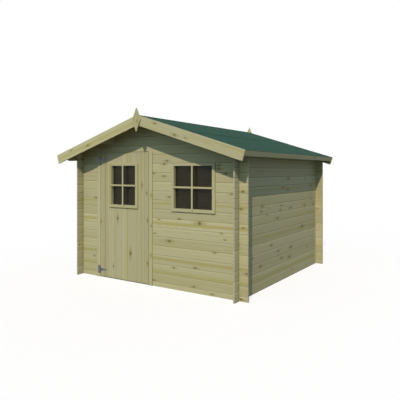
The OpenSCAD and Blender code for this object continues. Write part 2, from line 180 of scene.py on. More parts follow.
class Flow:
    """A socket of a node tree. Sums on it add Math nodes, and node() adds a node of any other type."""

    def __init__(self, tree, socket=None):
        self.tree = tree
        self.socket = socket

    def node(self, kind, settings=None, values=(), **sockets):
        """Adds a node: its settings first, then sockets in order or by name. Gives back its first output."""
        node = self.tree.nodes.new("ShaderNode" + kind)
        for key, setting in (settings or {}).items():
            setattr(node, key, setting)
        taken = [socket for socket in node.inputs if socket.enabled]
        wired = list(zip(taken, values))
        for key, value in sockets.items():
            name = key.replace("_", " ")
            wired.append((next(socket for socket in taken if socket.name == name), value))
        for socket, value in wired:
            if isinstance(value, Flow):
                self.tree.links.new(value.socket, socket)
            else:
                socket.default_value = value
        given = [socket for socket in node.outputs if socket.enabled]
        return Flow(self.tree, given[0] if given else None)

    def pick(self, name):
        """Another output of the node that this socket belongs to."""
        return Flow(self.tree, self.socket.node.outputs[name])

    def math(self, operation, *values):
        return self.node("Math", {"operation": operation}, values)

    def floor(self):
        return self.math("FLOOR", self)

    def absolute(self):
        return self.math("ABSOLUTE", self)

    def root(self):
        return self.math("SQRT", self)

    def fraction(self):
        return self.math("FRACT", self)

    def least(self, other):
        return self.math("MINIMUM", self, other)

    def most(self, other):
        return self.math("MAXIMUM", self, other)

    def rise(self, low, high):
        """A smooth step from 0 at low to 1 at high; low may be the larger."""
        if low > high:
            return 1 - self.rise(high, low)
        return self.node("MapRange", {"interpolation_type": "SMOOTHSTEP"}, (self, low, high))

    def hump(self, start, full, fall, end):
        """Rises from 0 at start to 1 at full, and falls from 1 at fall to 0 at end."""
        return self.rise(start, full) * self.rise(end, fall)

    def between(self, low, high):
        """A value of 0 to 1 as a value from low to high."""
        return low + (high - low) * self

    def centred(self):
        """A value of 0 to 1 as a value from -0.5 to 0.5."""
        return self - 0.5

    def __add__(self, other):
        return self.math("ADD", self, other)

    def __sub__(self, other):
        return self.math("SUBTRACT", self, other)

    def __mul__(self, other):
        return self.math("MULTIPLY", self, other)

    def __truediv__(self, other):
        return self.math("DIVIDE", self, other)

    def __lt__(self, other):
        return self.math("LESS_THAN", self, other)

    def __rsub__(self, other):
        return self.math("SUBTRACT", other, self)

    __radd__ = __add__
    __rmul__ = __mul__

    def vector(self, x, y, z):
        return self.node("CombineXYZ", X=x, Y=y, Z=z)

    def blend(self, first, second, share):
        """A colour between two colours."""
        return self.node("Mix", {"data_type": "RGBA"}, Factor=share, A=first, B=second)

    def shade(self, colour, level):
        """A colour made lighter or darker."""
        return self.node("VectorMath", {"operation": "SCALE"}, Vector=colour, Scale=level)

    def noise(self, place, scale=1.0, detail=2.0):
        return self.node("TexNoise", Vector=place, Scale=scale, Detail=detail)

    def chance(self, x, y, z):
        """Three random numbers that belong to a place in a grid."""
        drawn = self.node("TexWhiteNoise", {"noise_dimensions": "3D"}, Vector=self.vector(x, y, z))
        parted = self.node("SeparateColor", Color=drawn.pick("Color"))
        return parted, parted.pick("Green"), parted.pick("Blue")


def new_finish(name):
    """An empty material, and a flow to build its nodes with."""
    material = bpy.data.materials.new(name)
    material.use_nodes = True
    material.node_tree.nodes.clear()
    return material, Flow(material.node_tree)


def surface(flow, colour, roughness, height=None, depth=0.0, **constants):
    """Ends a material in a shader, with a bump from a height of 0 to 1."""
    if height is not None:
        constants["Normal"] = flow.node("Bump", Strength=1.0, Distance=depth, Height=height)
    shader = flow.node("BsdfPrincipled", Base_Color=colour, Roughness=roughness, **constants)
    flow.node("OutputMaterial", Surface=shader)


@dataclass
class Grain:
    """How the boards of one finish lie: the axis along them, and their rows across it and in depth.

    edge is the width of the painted shade and dirt at a joint, the edge highlight is how much paler a
    painted highlight makes a log's upper edge, and the lit ends are where its ends begin to be painted
    paler, as painted light.
    Knots and streaks with given places show in the marked layer only.
    """

    along: str
    across: str
    cover: float
    start: float
    depth_cover: float
    depth_start: float
    turn: float = 0.0
    edge: float = 0.0
    edge_highlight: float = 0.0
    lit_ends: tuple = ()
    knot_places: tuple = ()
    streak_places: tuple = ()
    marked_layer: int = 0

    @property
    def depth(self):
        return ({"X", "Y", "Z"} - {self.along, self.across}).pop()


def row_of(coordinate, start, step):
    """The row that a coordinate lies in, and its distance from the middle of that row."""
    row = ((coordinate - start) / step).floor()
    return row, coordinate - start - (row + 0.5) * step


# Each board is cut from another stretch of the pattern, and an end is a face that looks along the grain
BOARD_SHIFT = 40
END_FACING = (0.75, 0.9)


class Spot:
    """Where a point of the surface lies on its board, and which board that is."""

    def __init__(self, flow, grain, seed):
        self.flow = flow
        self.grain = grain
        place = flow.node("TexCoord").pick("Object")
        facing = place.pick("Normal")
        if grain.turn:
            turned = (0, grain.turn, 0)
            place = flow.node("Mapping", Vector=place, Rotation=turned)
            facing = flow.node("Mapping", {"vector_type": "VECTOR"}, Vector=facing, Rotation=turned)
        parted = flow.node("SeparateXYZ", Vector=place)
        self.run = parted.pick(grain.along)
        self.side = parted.pick(grain.across)
        self.row, self.across = row_of(self.side, grain.start, grain.cover)
        self.layer, self.depth = row_of(parted.pick(grain.depth), grain.depth_start, grain.depth_cover)
        shift, self.pith_side, self.pith_depth = flow.chance(self.row, self.layer, seed)
        self.along = self.run + shift * BOARD_SHIFT
        ends = flow.node("SeparateXYZ", Vector=facing).pick(grain.along)
        self.end = ends.absolute().rise(*END_FACING)

    def elsewhere(self):
        """0 in the layer whose marks have given places, and 1 or more in the others."""
        return (self.layer - self.grain.marked_layer).absolute()

    def noise(self, marks, detail=2.0):
        """A noise with so many marks a metre along and across the grain, moved on from row to row."""
        per_along, per_across, row_step = marks
        deep = self.depth * per_across + self.row * row_step
        return self.flow.noise(self.flow.vector(self.along * per_along, self.across * per_across, deep),
                               detail=detail)


# Knots: one, or a pair across the board, may lie in each stretch of it, fewer where their places are given
KNOT_STEP = 0.31
KNOT_SHARE = 0.58
STRAY_KNOT_SHARE = 0.05
KNOT_ROAM_SHARES = (0.70, 0.86)
TWIN_SHARE = 0.14
TWIN_GAP = 0.042
KNOT_R = 0.0185
KNOT_SIZE_SHARES = (0.38, 1.0)
KNOT_ROUGH_SHARE = 0.9
KNOT_ROUGH_SCALE = 60.0
KNOT_ROUGH_SQUASH = 1.4
OUT_OF_REACH = 9.0
# Numbers that give each board, and each of its two draws, a place of its own
ROW_KEY = 7
LAYER_KEY = 31
KNOT_PLACE_DRAW = 0.5
KNOT_SIZE_DRAW = 3.5
# A knot's heart, its rim and the smudge along it: from where to where, in radii, and how strong
HEART_REACH = (1.1, 0.5)
HEART_SHARES = (0.6, 1.0)
RIM_REACH = (0.6, 1.0, 1.05, 1.5)
SMUDGE_REACH = (2.0, 0.3)
SMUDGE_SHARES = (0.25, 1.0)
SMUDGE_LONG_SHARE = 0.26
# The larger knots that show from the front: places along and across the boards, and radii
FRONT_KNOTS = (
    (0.740, 0.845, 0.020), (0.205, 1.555, 0.013), (0.250, 1.595, 0.012), (0.200, 1.405, 0.011),
    (1.105, 1.440, 0.012), (1.180, 1.205, 0.011), (0.285, 0.595, 0.016), (0.355, 0.270, 0.010),
    (0.950, 0.515, 0.010), (0.440, 0.880, 0.010), (-1.010, 1.095, 0.011), (0.655, 0.075, 0.010),
    (0.035, 1.440, 0.010), (0.290, 1.145, 0.011), (1.045, 0.745, 0.008), (1.090, 0.675, 0.008),
    (0.920, 0.025, 0.010), (-1.040, 0.275, 0.009), (0.035, 0.075, 0.010), (0.050, 0.675, 0.009),
    (1.300, 1.040, 0.012), (1.330, 0.830, 0.011), (1.370, 0.320, 0.011), (1.300, 0.025, 0.012),
)
SIDE_KNOTS = (
    (0.205, 1.365, 0.018), (0.015, 1.245, 0.014), (0.185, 1.215, 0.014), (1.095, 1.245, 0.014),
    (-0.625, 1.030, 0.015), (-0.655, 0.970, 0.011), (-0.045, 1.010, 0.012), (-0.080, 0.950, 0.013),
    (0.285, 0.960, 0.015), (0.825, 0.960, 0.015), (1.195, 0.950, 0.011), (-0.170, 0.850, 0.014),
    (0.725, 0.650, 0.020), (-0.490, 0.915, 0.009), (-0.360, 0.515, 0.014), (-0.145, 0.410, 0.013),
    (0.290, 0.405, 0.018), (-0.680, 0.300, 0.014), (-0.030, 0.300, 0.013), (0.345, 0.080, 0.010),
    (0.940, 0.325, 0.012),
)
DOOR_KNOTS = (
    (0.380, -0.350, 0.019), (0.830, -0.580, 0.016), (0.175, -0.660, 0.009), (1.185, -0.070, 0.010),
    (1.285, -0.150, 0.011), (0.830, -0.060, 0.009), (0.275, -0.060, 0.010), (0.765, -0.895, 0.010),
)
POST_KNOTS = ((1.160, 0.000, 0.009), (0.765, 0.000, 0.008), (0.385, 0.000, 0.009))
FASCIA_KNOTS = ((0.700, 1.665, 0.013),)
FINIAL_KNOTS = ((2.085, 0.015, 0.008),)
LEFT_BARGE_KNOTS = ((-0.285, 1.990, 0.013), (-0.620, 2.035, 0.010))
RIGHT_BARGE_KNOTS = ((-0.345, 2.030, 0.011), (-0.020, 1.975, 0.014), (0.140, 1.980, 0.008))


def knot_reach(from_x, from_y, radius, ragged, long_share=1.0):
    """Distance from the middle of a knot in radii, drawn out along the grain by a long_share under 1."""
    run = from_x * long_share
    return (run * run + from_y * from_y).root() / radius + ragged.centred() * KNOT_ROUGH_SHARE


def chance_knots(flow, grain, spot, seed, ragged):
    """The distance from the nearest knot by chance, its smudge, and how dark it is."""
    stretch, along_in = row_of(spot.along, 0.0, KNOT_STEP)
    board = spot.row * ROW_KEY + spot.layer * LAYER_KEY
    shift, side, there = flow.chance(stretch, board, seed + KNOT_PLACE_DRAW)
    size, dark, twin = flow.chance(stretch, board, seed + KNOT_SIZE_DRAW)
    roam_along, roam_across = KNOT_ROAM_SHARES
    from_x = along_in - shift.centred() * (KNOT_STEP * roam_along)
    from_y = spot.across - side.centred() * (grain.cover * roam_across)
    folded = (from_y - TWIN_GAP / 2).absolute() - TWIN_GAP / 2
    from_y = from_y + (folded - from_y) * (twin < TWIN_SHARE)
    radius = (size * size * size).between(*KNOT_SIZE_SHARES) * KNOT_R
    share = KNOT_SHARE
    if grain.knot_places:
        share = spot.elsewhere().between(STRAY_KNOT_SHARE, KNOT_SHARE)
    shown = there < share
    near = knot_reach(from_x, from_y, radius, ragged) + (1 - shown) * OUT_OF_REACH
    smudge = knot_reach(from_x, from_y, radius, ragged, SMUDGE_LONG_SHARE).rise(*SMUDGE_REACH)
    return near, smudge * shown * size.between(*SMUDGE_SHARES), dark


def knots(flow, grain, spot, seed):
    """How much of a knot's heart, of its rim and of the olive smudge along it shows at a place."""
    rough_place = flow.vector(spot.along, spot.across * KNOT_ROUGH_SQUASH, spot.row)
    ragged = flow.noise(rough_place, KNOT_ROUGH_SCALE, detail=3.0)
    near, smudge, dark = chance_knots(flow, grain, spot, seed, ragged)
    if grain.knot_places:
        hidden = spot.elsewhere() * OUT_OF_REACH
    for along_at, across_at, radius in grain.knot_places:
        from_x, from_y = spot.run - along_at, spot.side - across_at
        near = near.least(knot_reach(from_x, from_y, radius, ragged) + hidden)
        drawn_out = knot_reach(from_x, from_y, radius, ragged, SMUDGE_LONG_SHARE) + hidden
        smudge = smudge.most(drawn_out.rise(*SMUDGE_REACH))
    heart = near.rise(*HEART_REACH) * dark.between(*HEART_SHARES)
    return heart, near.hump(*RIM_REACH), smudge


# Growth rings: their width, how their heart wanders behind the board, and the late wood's part of a ring
RING_W = 0.0052
HEART_WANDER = (0.8, 3.7, 2.3)
HEART_SWAY = 0.065
HEART_SIDE = 0.10
HEART_DEPTH = (0.012, 0.072)
RING_WAVE = 1.1
RING_BEND = 1.8
LATE_WOOD = (0.35, 0.88, 0.93, 1.0)
# Marks a metre along and across the grain, and how far they move on from row to row
WAVES = (2.2, 16.0, 1)
STREAKS = (0.28, 15.0, 5)
FINE_STREAKS = (0.9, 44.0, 9)
FIBRES = (7.0, 420.0, 0)


def growth_rings(flow, spot, bend):
    """The late wood of rings round a heart that wanders behind the board, which draws arches."""
    per_along, per_row, per_layer = HEART_WANDER
    wander = flow.noise(flow.vector(spot.along * per_along, spot.row * per_row, spot.layer * per_layer))
    sway = flow.node("SeparateColor", Color=wander.pick("Color"))
    from_heart = spot.across - spot.pith_side.centred() * HEART_SIDE - sway.centred() * HEART_SWAY
    sway_deep = sway.pick("Green").centred() * HEART_SWAY
    heart_depth = spot.depth + spot.pith_depth.between(*HEART_DEPTH) + sway_deep
    ring_r = (from_heart * from_heart + heart_depth * heart_depth).root()
    ring = (ring_r / RING_W + spot.noise(WAVES) * RING_WAVE + bend * RING_BEND).fraction()
    return ring.hump(*LATE_WOOD)


# Yellow streaks: what part of the noise they are, and how strong, from an even board to a streaky one
STREAK_RISE = (0.43, 0.65)
STREAK_SHARES = (0.16, 0.92)
FINE_STREAK_RISE = (0.48, 0.72)
FINE_STREAK_SHARE = 0.52
# The broadest ones that show from the front: places across the boards, half widths and strengths
FRONT_STREAKS = ((0.810, 0.030, 0.85), (0.360, 0.034, 0.75), (0.195, 0.035, 0.65), (1.060, 0.025, 0.60))
SIDE_STREAKS = ((0.150, 0.035, 0.75), (0.640, 0.045, 0.50))
DOOR_STREAKS = ((-0.815, 0.022, 0.90), (-0.405, 0.022, 0.80), (-0.160, 0.016, 0.70))
STREAK_SWAY = 0.02
STREAK_CORE_SHARE = 0.2
CALM_SHARE = 0.55


def streaks(grain, spot, streaky):
    """How much yellow shows: broad and fine streaks by chance, and those whose places are given."""
    fine = spot.noise(FINE_STREAKS)
    streak = spot.noise(STREAKS).rise(*STREAK_RISE) * (streaky * streaky).between(*STREAK_SHARES)
    streak = streak.most(fine.rise(*FINE_STREAK_RISE) * FINE_STREAK_SHARE)
    if not grain.streak_places:
        return streak
    elsewhere = spot.elsewhere()
    streak = streak * elsewhere.between(CALM_SHARE, 1.0)
    side = spot.side + fine.centred() * STREAK_SWAY + elsewhere * OUT_OF_REACH
    for across_at, half_width, share in grain.streak_places:
        off_middle = (side - across_at).absolute()
        streak = streak.most(off_middle.rise(half_width, half_width * STREAK_CORE_SHARE) * share)
    return streak


# The painted shade and dirt at a joint, in widths of the edge, and the band of painted highlight under the
# upper edge of a log
JOINT_SHADE_REACH_SHARES = (1.5, 0.5)
JOINT_SHADE_AND_DIRT_SHARE = 0.60
HIGHLIGHT_BAND = (0.003, 0.008, 0.014, 0.026)


def joint_shade_and_highlight(flow, grain, across, wood):
    """Painted shade and dirt at both edges of a board, or at the lower edge of a log, whose upper edge gets
    a painted highlight.
    """
    if grain.edge_highlight:
        to_edge = across + grain.cover / 2
        # Painted highlight in a band under a log's upper edge, where its chamfer faces the sun
        pale = (grain.cover / 2 - across).hump(*HIGHLIGHT_BAND)
        wood = flow.shade(wood, 1 + pale * grain.edge_highlight)
    else:
        to_edge = grain.cover / 2 - across.absolute()
    # Painted shade, with some dirt, at the joint
    far, full = JOINT_SHADE_REACH_SHARES
    joint_shade = to_edge.rise(grain.edge * far, grain.edge * full)
    return flow.blend(wood, JOINT_SHADE_AND_DIRT, joint_shade * JOINT_SHADE_AND_DIRT_SHARE)


# The draw that gives a board its tone, how much each mark colours the pine, its lightness and its relief
TONE_DRAW = 11
GREEN_SHARE = 0.35
YELLOW_SHARE = 0.9
# How much of the painted light shows on the log ends outside the walls
LIT_ENDS_SHARE = 0.75
LATE_SHARE = 0.26
END_SHARE = 0.6
SMUDGE_COLOUR_SHARE = 0.45
RIM_COLOUR_SHARE = 0.4
HEART_COLOUR_SHARE = 0.9
BOARD_LIGHT = (0.93, 1.07)
FIBRE_LIGHT = (0.93, 1.07)
END_RING_SHARE = 0.25
PINE_ROUGHNESS = (0.58, 0.80)
KNOT_SHINE = 0.12
FIBRE_RELIEF = 0.55
LATE_RELIEF = 0.25
KNOT_RELIEF = 0.2
PINE_RELIEF = 0.0006
PINE_GLOSS = 0.3


def pine(name, grain, seed, tones=TONE_DRAW, level=1.0):
    """Treated pine: growth rings cut flat, streaks, fibres, knots, end grain, painted shade and dirt at
    joints, painted highlights, and painted light on log ends.
    """
    material, flow = new_finish(name)
    spot = Spot(flow, grain, seed)
    tone, tint, streaky = flow.chance(spot.row, spot.layer, seed + tones)
    heart, rim, smudge = knots(flow, grain, spot, seed)
    late = growth_rings(flow, spot, smudge)
    fibre = spot.noise(FIBRES, detail=3.0)

    wood = flow.blend(PINE_PALE, PINE_GREEN, tint * GREEN_SHARE)
    wood = flow.blend(wood, PINE_YELLOW, streaks(grain, spot, streaky) * YELLOW_SHARE)
    # Painted light: the log ends outside the walls are painted paler
    if grain.lit_ends:
        out_of_wall = spot.run.absolute().rise(*grain.lit_ends)
        wood = flow.blend(wood, PINE_LIT_ENDS, out_of_wall * LIT_ENDS_SHARE)
    wood = flow.blend(wood, PINE_LATE, late * LATE_SHARE)
    wood = flow.blend(wood, PINE_END, spot.end * END_SHARE)
    wood = flow.blend(wood, KNOT_OLIVE, smudge * SMUDGE_COLOUR_SHARE + rim * RIM_COLOUR_SHARE)
    wood = flow.blend(wood, KNOT_CORE, heart * HEART_COLOUR_SHARE)
    light = tone.between(*BOARD_LIGHT) * fibre.between(*FIBRE_LIGHT)
    wood = flow.shade(wood, light * (1 - spot.end * late * END_RING_SHARE) * level)
    if grain.edge:
        wood = joint_shade_and_highlight(flow, grain, spot.across, wood)
    roughness = fibre.between(*PINE_ROUGHNESS) - heart * KNOT_SHINE
    height = fibre * FIBRE_RELIEF + late * LATE_RELIEF + heart * KNOT_RELIEF
    surface(flow, wood, roughness, height, PINE_RELIEF, Specular_IOR_Level=PINE_GLOSS)
    return material


# Felt: its granules, clouds and marks a metre, and how much each lightens it
GRANULES = 520.0
FELT_CLOUDS = 3.2
FELT_MARKS_ALONG = 0.5
FELT_MARKS_ACROSS = 9
FELT_MARK_RISE = (0.3, 0.7)
GRANULE_SHARE = 0.55
CLOUD_SHARE = 0.25
FELT_MARK_SHARE = 0.2
FELT_ROUGHNESS = (0.86, 0.96)
FELT_RELIEF = 0.0008
FELT_GLOSS = 0.14


def felt():
    """Mineral felt: green granules, paler where they lie thick, with faint marks along the strips."""
    material, flow = new_finish("felt_green_mineral")
    place = flow.node("TexCoord").pick("Object")
    granules = flow.node("TexVoronoi", {"feature": "F1"}, Vector=place, Scale=GRANULES)
    granule = flow.node("SeparateColor", Color=granules.pick("Color"))
    cloud = flow.noise(place, FELT_CLOUDS, detail=4.0)
    parted = flow.node("SeparateXYZ", Vector=place)
    mark = flow.noise(flow.vector(
        parted.pick("X") * FELT_MARKS_ACROSS, parted.pick("Y") * FELT_MARKS_ALONG,
        parted.pick("Z") * FELT_MARKS_ACROSS), detail=3.0)
    pale = granule * GRANULE_SHARE + cloud * CLOUD_SHARE + mark.rise(*FELT_MARK_RISE) * FELT_MARK_SHARE
    colour = flow.blend(FELT_DARK, FELT_LIGHT, pale)
    surface(flow, colour, granule.between(*FELT_ROUGHNESS), 1 - granules, FELT_RELIEF,
            Specular_IOR_Level=FELT_GLOSS)
    return material


# Panes: the clouds of dust a metre, and how much of the room shows through
PANE_CLOUDS = 6.0
PANE_ROUGHNESS = (0.03, 0.08)
PANE_ALPHA = 0.5
PANE_GLOSS = 0.3


def glass():
    """A pane painted dark, as painted shade of the room behind it, seen half through, with a faint
    unevenness of old dust.
    """
    material, flow = new_finish("glass_pane")
    dust = flow.noise(flow.node("TexCoord").pick("Object"), PANE_CLOUDS, detail=4.0)
    colour = flow.blend(PANE_ROOM_SHADE, PANE_DUST, dust)
    surface(flow, colour, dust.between(*PANE_ROUGHNESS), Alpha=PANE_ALPHA, Specular_IOR_Level=PANE_GLOSS)
    return material


# Zinc: its crystal flecks and rubbed places a metre, and how much each lightens it
FLECKS = 170.0
RUBS = 60.0
FLECK_SHARE = 0.6
RUB_SHARE = 0.4
ZINC_ROUGHNESS = (0.38, 0.58)
ZINC_RELIEF = 0.0002
ZINC_METALLIC = 0.65


def zinc():
    """Zinc-plated steel with its crystal flecks."""
    material, flow = new_finish("zinc_plated_steel")
    place = flow.node("TexCoord").pick("Object")
    flecks = flow.node("TexVoronoi", {"feature": "F1"}, Vector=place, Scale=FLECKS)
    fleck = flow.node("SeparateColor", Color=flecks.pick("Color"))
    rub = flow.noise(place, RUBS, detail=4.0)
    colour = flow.blend(ZINC_DARK, ZINC_LIGHT, fleck * FLECK_SHARE + rub * RUB_SHARE)
    surface(flow, colour, rub.between(*ZINC_ROUGHNESS), rub, ZINC_RELIEF, Metallic=ZINC_METALLIC)
    return material


def middle(node, axis):
    """The middle of a CAD node along an axis."""
    low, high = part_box(node)
    return (low[axis] + high[axis]) / 2


# How the boards of each finish lie: the rows across them and the layers in depth
PURLIN_ROW = 0.5
PURLIN_START = 0.05
PURLIN_GAP = 0.648
DOOR_LAYER = 1.0
JOINERY_ROW = 0.30
JOINERY_LAYER = 0.30
JOINERY_DEPTH = -1.36
POST_START = -1.10
RAIL_START = -0.04
FINIAL_START = -0.16
FASCIA_ROW = 0.10
FASCIA_START = 1.61
BARGE_ROW = 0.15
BARGE_START = 1.93
BRACE_ROW = 0.15
ROOF_LAYER = 1.0
ROOF_LAYER_START = 1.5
# A layer on each side of the middle of the shed
HALF_LAYER = 3.0

wall_gap = middle("rear_wall", 1) - middle("front_gable", 1)
front_depth = middle("front_gable", 1) - wall_gap / 2
side_depth = middle("left_wall", 0) - wall_gap / 2
leaf_low, leaf_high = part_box("door_leaf")
roof_low, roof_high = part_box("right_roof_deck")
roof_cover = (roof_high.y - roof_low.y) / ROOF_BOARDS
barge_gap = middle("rear_left_bargeboard", 1) - middle("front_left_bargeboard", 1)
barge_depth = middle("front_left_bargeboard", 1) - barge_gap / 2

cross_log_pine = pine(
    "pine_cross_logs",
    Grain("X", "Z", LOG_COVER, LOG_COVER / 2, wall_gap, front_depth, edge=LOG_EDGE, edge_highlight=LOG_EDGE_HIGHLIGHT,
          knot_places=FRONT_KNOTS, streak_places=FRONT_STREAKS),
    seed=1, tones=3)
side_log_pine = pine(
    "pine_side_logs",
    Grain("Y", "Z", LOG_COVER, 0.0, wall_gap, side_depth, edge=SIDE_LOG_EDGE, edge_highlight=SIDE_LOG_EDGE_HIGHLIGHT,
          lit_ends=SIDE_LOG_LIT_ENDS, knot_places=SIDE_KNOTS, streak_places=SIDE_STREAKS, marked_layer=1),
    seed=2)
purlin_pine = pine(
    "pine_purlins",
    Grain("Y", "Z", PURLIN_ROW, PURLIN_START, PURLIN_GAP, -PURLIN_GAP / 2),
    seed=3)
door_pine = pine(
    "pine_door_boards",
    Grain("Z", "X", DOOR_BOARD, leaf_low.x, DOOR_LAYER, middle("door_leaf", 1) - DOOR_LAYER / 2,
          edge=DOOR_BOARD_EDGE, knot_places=DOOR_KNOTS, streak_places=DOOR_STREAKS),
    seed=4, tones=19, level=0.94)
upright_pine = pine(
    "pine_uprights",
    Grain("Z", "X", JOINERY_ROW, POST_START, JOINERY_LAYER, JOINERY_DEPTH, knot_places=POST_KNOTS),
    seed=5)
finial_pine = pine(
    "pine_finials",
    Grain("Z", "X", JOINERY_ROW, FINIAL_START, HALF_LAYER, -HALF_LAYER, knot_places=FINIAL_KNOTS),
    seed=18, level=0.95)
rail_grain = Grain("X", "Z", JOINERY_ROW, RAIL_START, JOINERY_LAYER, JOINERY_DEPTH)
rail_pine = pine("pine_rails", rail_grain, seed=6)
# The sill is painted darker: painted shade under the door leaf
shaded_sill_pine = pine("pine_sill_painted_shade", rail_grain, seed=6, level=0.62)
fascia_pine = pine(
    "pine_fascias",
    Grain("Y", "Z", FASCIA_ROW, FASCIA_START, HALF_LAYER, -HALF_LAYER,
          knot_places=FASCIA_KNOTS, marked_layer=1),
    seed=7, level=0.95)
barge_pine = {
    side: pine(
        "pine_bargeboards_" + SIDES[side],
        Grain("X", "Z", BARGE_ROW, BARGE_START, barge_gap, barge_depth, turn=-side * ROOF_PITCH,
              knot_places=knot_places),
        seed=20 + side, level=1.04)
    for side, knot_places in ((LEFT, LEFT_BARGE_KNOTS), (RIGHT, RIGHT_BARGE_KNOTS))
}
roof_pine = {
    side: pine(
        "pine_roof_boards_" + SIDES[side],
        Grain("X", "Y", roof_cover, roof_low.y, ROOF_LAYER, ROOF_LAYER_START, turn=-side * ROOF_PITCH,
              edge=ROOF_BOARD_EDGE),
        seed=12 + side)
    for side in SIDES
}
green_felt = felt()
pane_glass = glass()
zinc_steel = zinc()


def hang(name, bm, finishes, body, replaced=()):
    """Makes a piece of a bmesh, with its finishes, and hangs it on a body of the frame."""
    mesh = bpy.data.meshes.new(name)
    bm.to_mesh(mesh)
    bm.free()
    for finish in finishes:
        mesh.materials.append(finish)
    piece = bpy.data.objects.new(name, mesh)
    bpy.context.scene.collection.objects.link(piece)
    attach(piece, body)
    if replaced:
        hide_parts(*replaced)


def ease(bm, edges, width, segments=2):
    """Takes the sharpness off edges."""
    bmesh.ops.bevel(bm, geom=edges, offset=width, offset_type="OFFSET", segments=segments, profile=0.5,
                    affect="EDGES", material=-1, clamp_overlap=True)


def add_board(bm, low, high, finish=0, width=BOARD_EASE):
    """Adds a board from corner to corner, with eased edges."""
    before = set(bm.faces)
    corners = bmesh.ops.create_cube(bm, size=1.0)["verts"]
    bmesh.ops.scale(bm, vec=Vector(high) - Vector(low), verts=corners)
    bmesh.ops.translate(bm, vec=(Vector(high) + Vector(low)) / 2, verts=corners)
    ease(bm, list({edge for corner in corners for edge in corner.link_edges}), width)
    for face in bm.faces:
        if face not in before:
            face.material_index = finish


def node_copy(node):
    """A bmesh of a CAD node with its triangles merged to whole faces."""
    bm = bmesh.new()
    bm.from_mesh(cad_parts[node].data)
    bmesh.ops.remove_doubles(bm, verts=bm.verts, dist=MERGE)
    bmesh.ops.dissolve_limit(bm, angle_limit=FLAT_ANGLE, verts=bm.verts, edges=bm.edges)
    for face in bm.faces:
        face.material_index = 0
        face.smooth = False
    return bm


def eased_board(node, finish, body="shed"):
    """A board of the frame with its sharp edges eased."""
    bm = node_copy(node)
    sharp = [edge for edge in bm.edges if edge.is_manifold and edge.calc_face_angle() > SHARP_ANGLE]
    ease(bm, sharp, BOARD_EASE)
    hang(node + "_eased", bm, [finish], body, [node])


def door_brace():
    """The door's slanting brace, with the grain along it."""
    bm = node_copy("door_brace")
    longest = max(bm.edges, key=lambda edge: edge.calc_length())
    run = longest.verts[1].co - longest.verts[0].co
    slant = math.atan(run.z / run.x)
    level = middle("door_brace", 2) * math.cos(slant) - middle("door_brace", 0) * math.sin(slant)
    bm.free()
    grain = Grain("X", "Z", BRACE_ROW, level - BRACE_ROW / 2, JOINERY_LAYER, JOINERY_DEPTH, turn=slant)
    eased_board("door_brace", pine("pine_brace", grain, seed=16), "door")


def swept_vertices(swept):
    """The vertices among what an operator made."""
    return [item for item in swept["geom"] if isinstance(item, bmesh.types.BMVert)]


def outline_solid(bm, points, travel):
    """Adds a solid that an outline sweeps, and gives back its vertices."""
    face = bm.faces.new([bm.verts.new(point) for point in points])
    moved = swept_vertices(bmesh.ops.extrude_face_region(bm, geom=[face]))
    bmesh.ops.translate(bm, vec=travel, verts=moved)
    return list(face.verts) + moved


def door_board_outlines(left, right, hole_low, hole_high):
    """The outlines of one door board round the window's hole, each a list of X and Z."""
    low, high = leaf_low.z, leaf_high.z
    sill, head = hole_low.z, hole_high.z
    if right <= hole_low.x or left >= hole_high.x:
        return [[(left, low), (right, low), (right, high), (left, high)]]
    if left >= hole_low.x and right <= hole_high.x:
        return [
            [(left, low), (right, low), (right, sill), (left, sill)],
            [(left, head), (right, head), (right, high), (left, high)],
        ]
    if left < hole_low.x:
        notch = [(right, sill), (hole_low.x, sill), (hole_low.x, head), (right, head)]
        return [[(left, low), (right, low)] + notch + [(right, high), (left, high)]]
    notch = [(left, head), (hole_high.x, head), (hole_high.x, sill), (left, sill)]
    return [[(left, low), (right, low), (right, high), (left, high)] + notch]


def joint_edges(corners, left, right):
    """The edges on the face of a door board that meet the boards beside it."""
    def lies_on(edge, axis, place):
        return all(abs(end.co[axis] - place) < MERGE for end in edge.verts)
    sides = {edge for corner in corners for edge in corner.link_edges}
    return [
        edge for edge in sides
        if lies_on(edge, 1, leaf_low.y) and (lies_on(edge, 0, left) or lies_on(edge, 0, right))
    ]


def door_boards():
    """The door's upright boards, with v-joints between them."""
    window_low, window_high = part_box("door_window_frame")
    cover = Vector((FRAME_COVER, 0, FRAME_COVER))
    bm = bmesh.new()
    left = leaf_low.x
    while left < leaf_high.x - MERGE:
        right = min(left + DOOR_BOARD, leaf_high.x)
        for outline in door_board_outlines(left, right, window_low + cover, window_high - cover):
            corners = outline_solid(
                bm, [(x, leaf_low.y, z) for x, z in outline], (0, leaf_high.y - leaf_low.y, 0))
            ease(bm, joint_edges(corners, left, right), DOOR_BOARD_EDGE, 1)
        left = right
    bmesh.ops.recalc_face_normals(bm, faces=bm.faces)
    hang("door_boards", bm, [door_pine], "door", ["door_leaf"])


